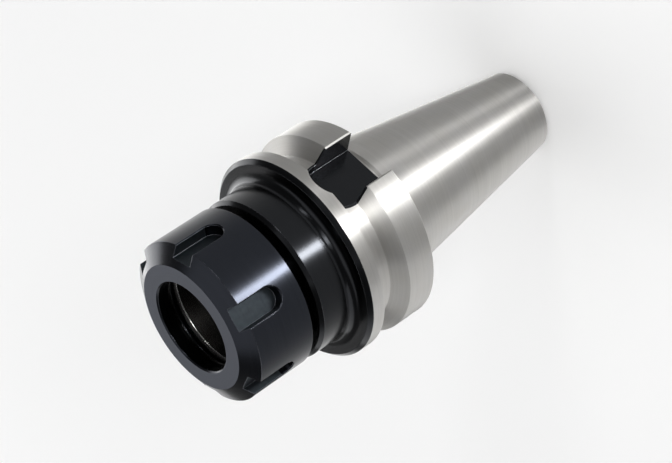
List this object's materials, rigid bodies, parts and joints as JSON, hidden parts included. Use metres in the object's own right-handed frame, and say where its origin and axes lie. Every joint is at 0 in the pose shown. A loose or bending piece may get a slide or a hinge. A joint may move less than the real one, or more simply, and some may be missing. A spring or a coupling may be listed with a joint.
{
  "type": "collet chuck holder",
  "caption": "Steep-taper tool holder with a flange, drive keyways and gripper groove, and a slotted clamping nut on its collet nose.",
  "frame": {"origin": "centre of the shank's small end face, on the spindle axis", "axes": "+Z along the spindle axis from the small end to the clamping nut; the two drive keyways face -Y and +Y"},
  "size_m": [0.063, 0.063, 0.1298],
  "materials": {
    "ground_steel": "fine ground, neck and flange front black oxide",
    "black_oxide_steel": "black oxide, satin, front face ground"
  },
  "bodies": {
    "holder": {"holder_body": "ground_steel"},
    "nut": {"clamping_nut": "black_oxide_steel"}
  },
  "joints": [
    {"name": "nut_turn", "type": "hinge", "parent": "holder", "child": "nut", "pos_m": [0, 0, 0.11], "axis": [0, 0, 1], "range_deg": [-168, 2900]}
  ]
}
